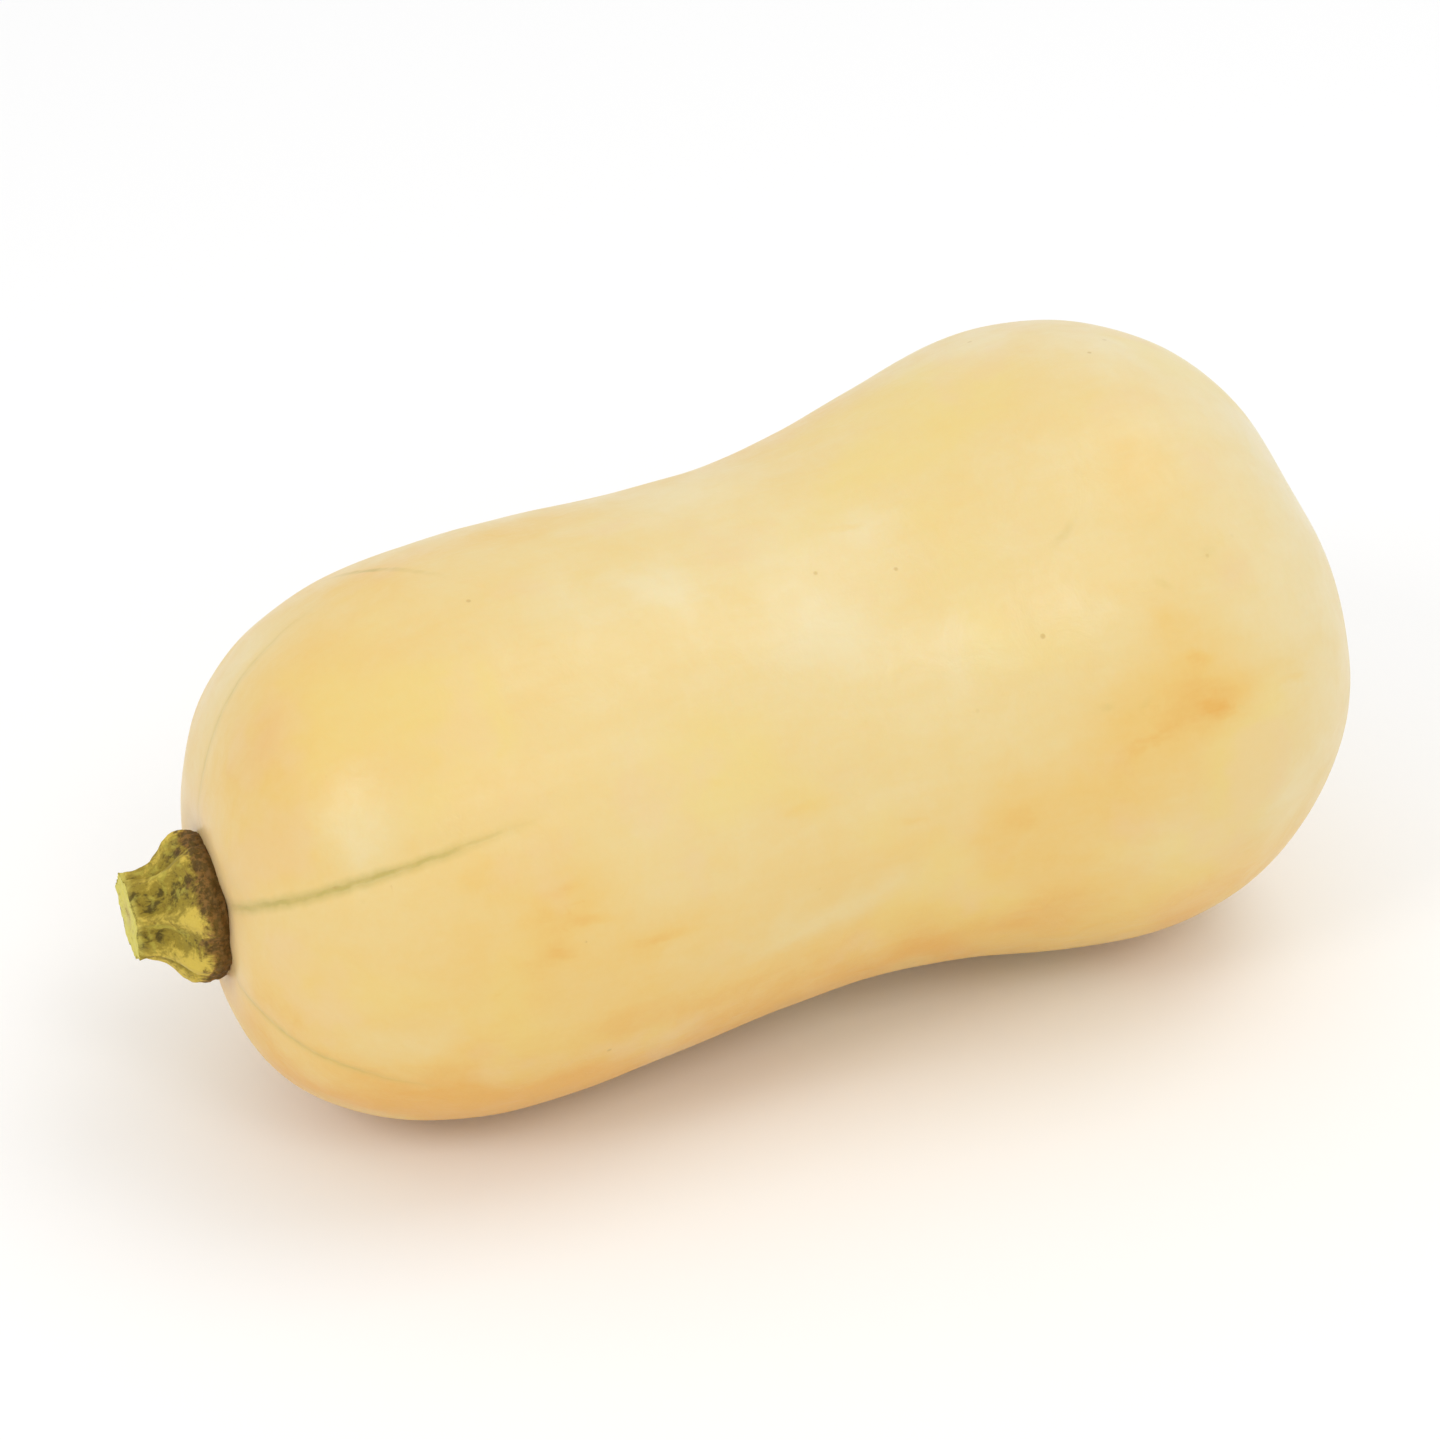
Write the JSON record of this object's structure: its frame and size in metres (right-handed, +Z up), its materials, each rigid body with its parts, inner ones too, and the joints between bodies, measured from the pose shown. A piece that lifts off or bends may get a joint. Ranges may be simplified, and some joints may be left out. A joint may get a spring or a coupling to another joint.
{
  "type": "butternut squash",
  "caption": "Whole butternut squash lying on its side, with a thick neck, a rounded bulb and a short five-ridged stub of dry stem.",
  "frame": {"origin": "on the surface that the squash lies on, under the middle of its bounding box", "axes": "+X along the squash from its stem to its blossom end, +Z up, +Y to the left of +X seen from above"},
  "size_m": [0.2332, 0.1186, 0.1173],
  "materials": {
    "skin": "smooth waxy rind, pale buff to warm yellow, satin",
    "stem": "dry fibrous stem, olive to straw yellow, with a dark corky rim"
  },
  "bodies": {
    "root": {"fruit": "skin", "stem": "stem"}
  },
  "joints": []
}
